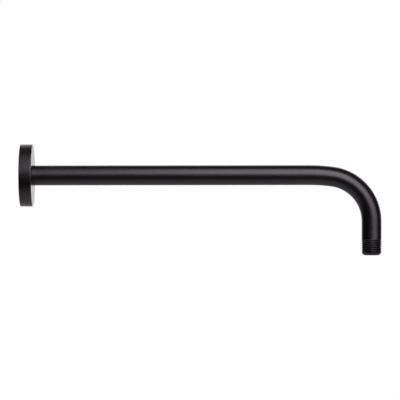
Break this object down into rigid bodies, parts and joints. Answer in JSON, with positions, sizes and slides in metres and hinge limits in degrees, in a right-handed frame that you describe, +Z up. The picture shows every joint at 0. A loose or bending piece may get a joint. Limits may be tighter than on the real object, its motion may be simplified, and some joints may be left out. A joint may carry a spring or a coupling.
{
  "type": "shower arm",
  "caption": "Wall-mounted shower arm: a long straight pipe with a quarter bend down to a threaded outlet, and a deep round flange that slides on it.",
  "frame": {"origin": "where the pipe's axis meets the finished wall, at the centre of the flange's open back", "axes": "+X out of the wall along the arm, +Z up, so the outlet drops along -Z"},
  "size_m": [0.3711, 0.064, 0.1144],
  "materials": {
    "satin_black_metal": "satin black coating on brass",
    "seal_rubber": "smooth moulded black rubber"
  },
  "bodies": {
    "arm": {"arm_tube": "satin_black_metal"},
    "seal": {"flange_grip_ring": "seal_rubber"},
    "flange": {"wall_flange": "satin_black_metal"}
  },
  "joints": [
    {"name": "flange_slide", "type": "slide", "parent": "arm", "child": "seal", "axis": [1, 0, 0], "range_m": [0, 0.283]},
    {"name": "flange_turn", "type": "hinge", "parent": "seal", "child": "flange", "pos_m": [0, 0, 0], "axis": [1, 0, 0], "continuous": true}
  ]
}
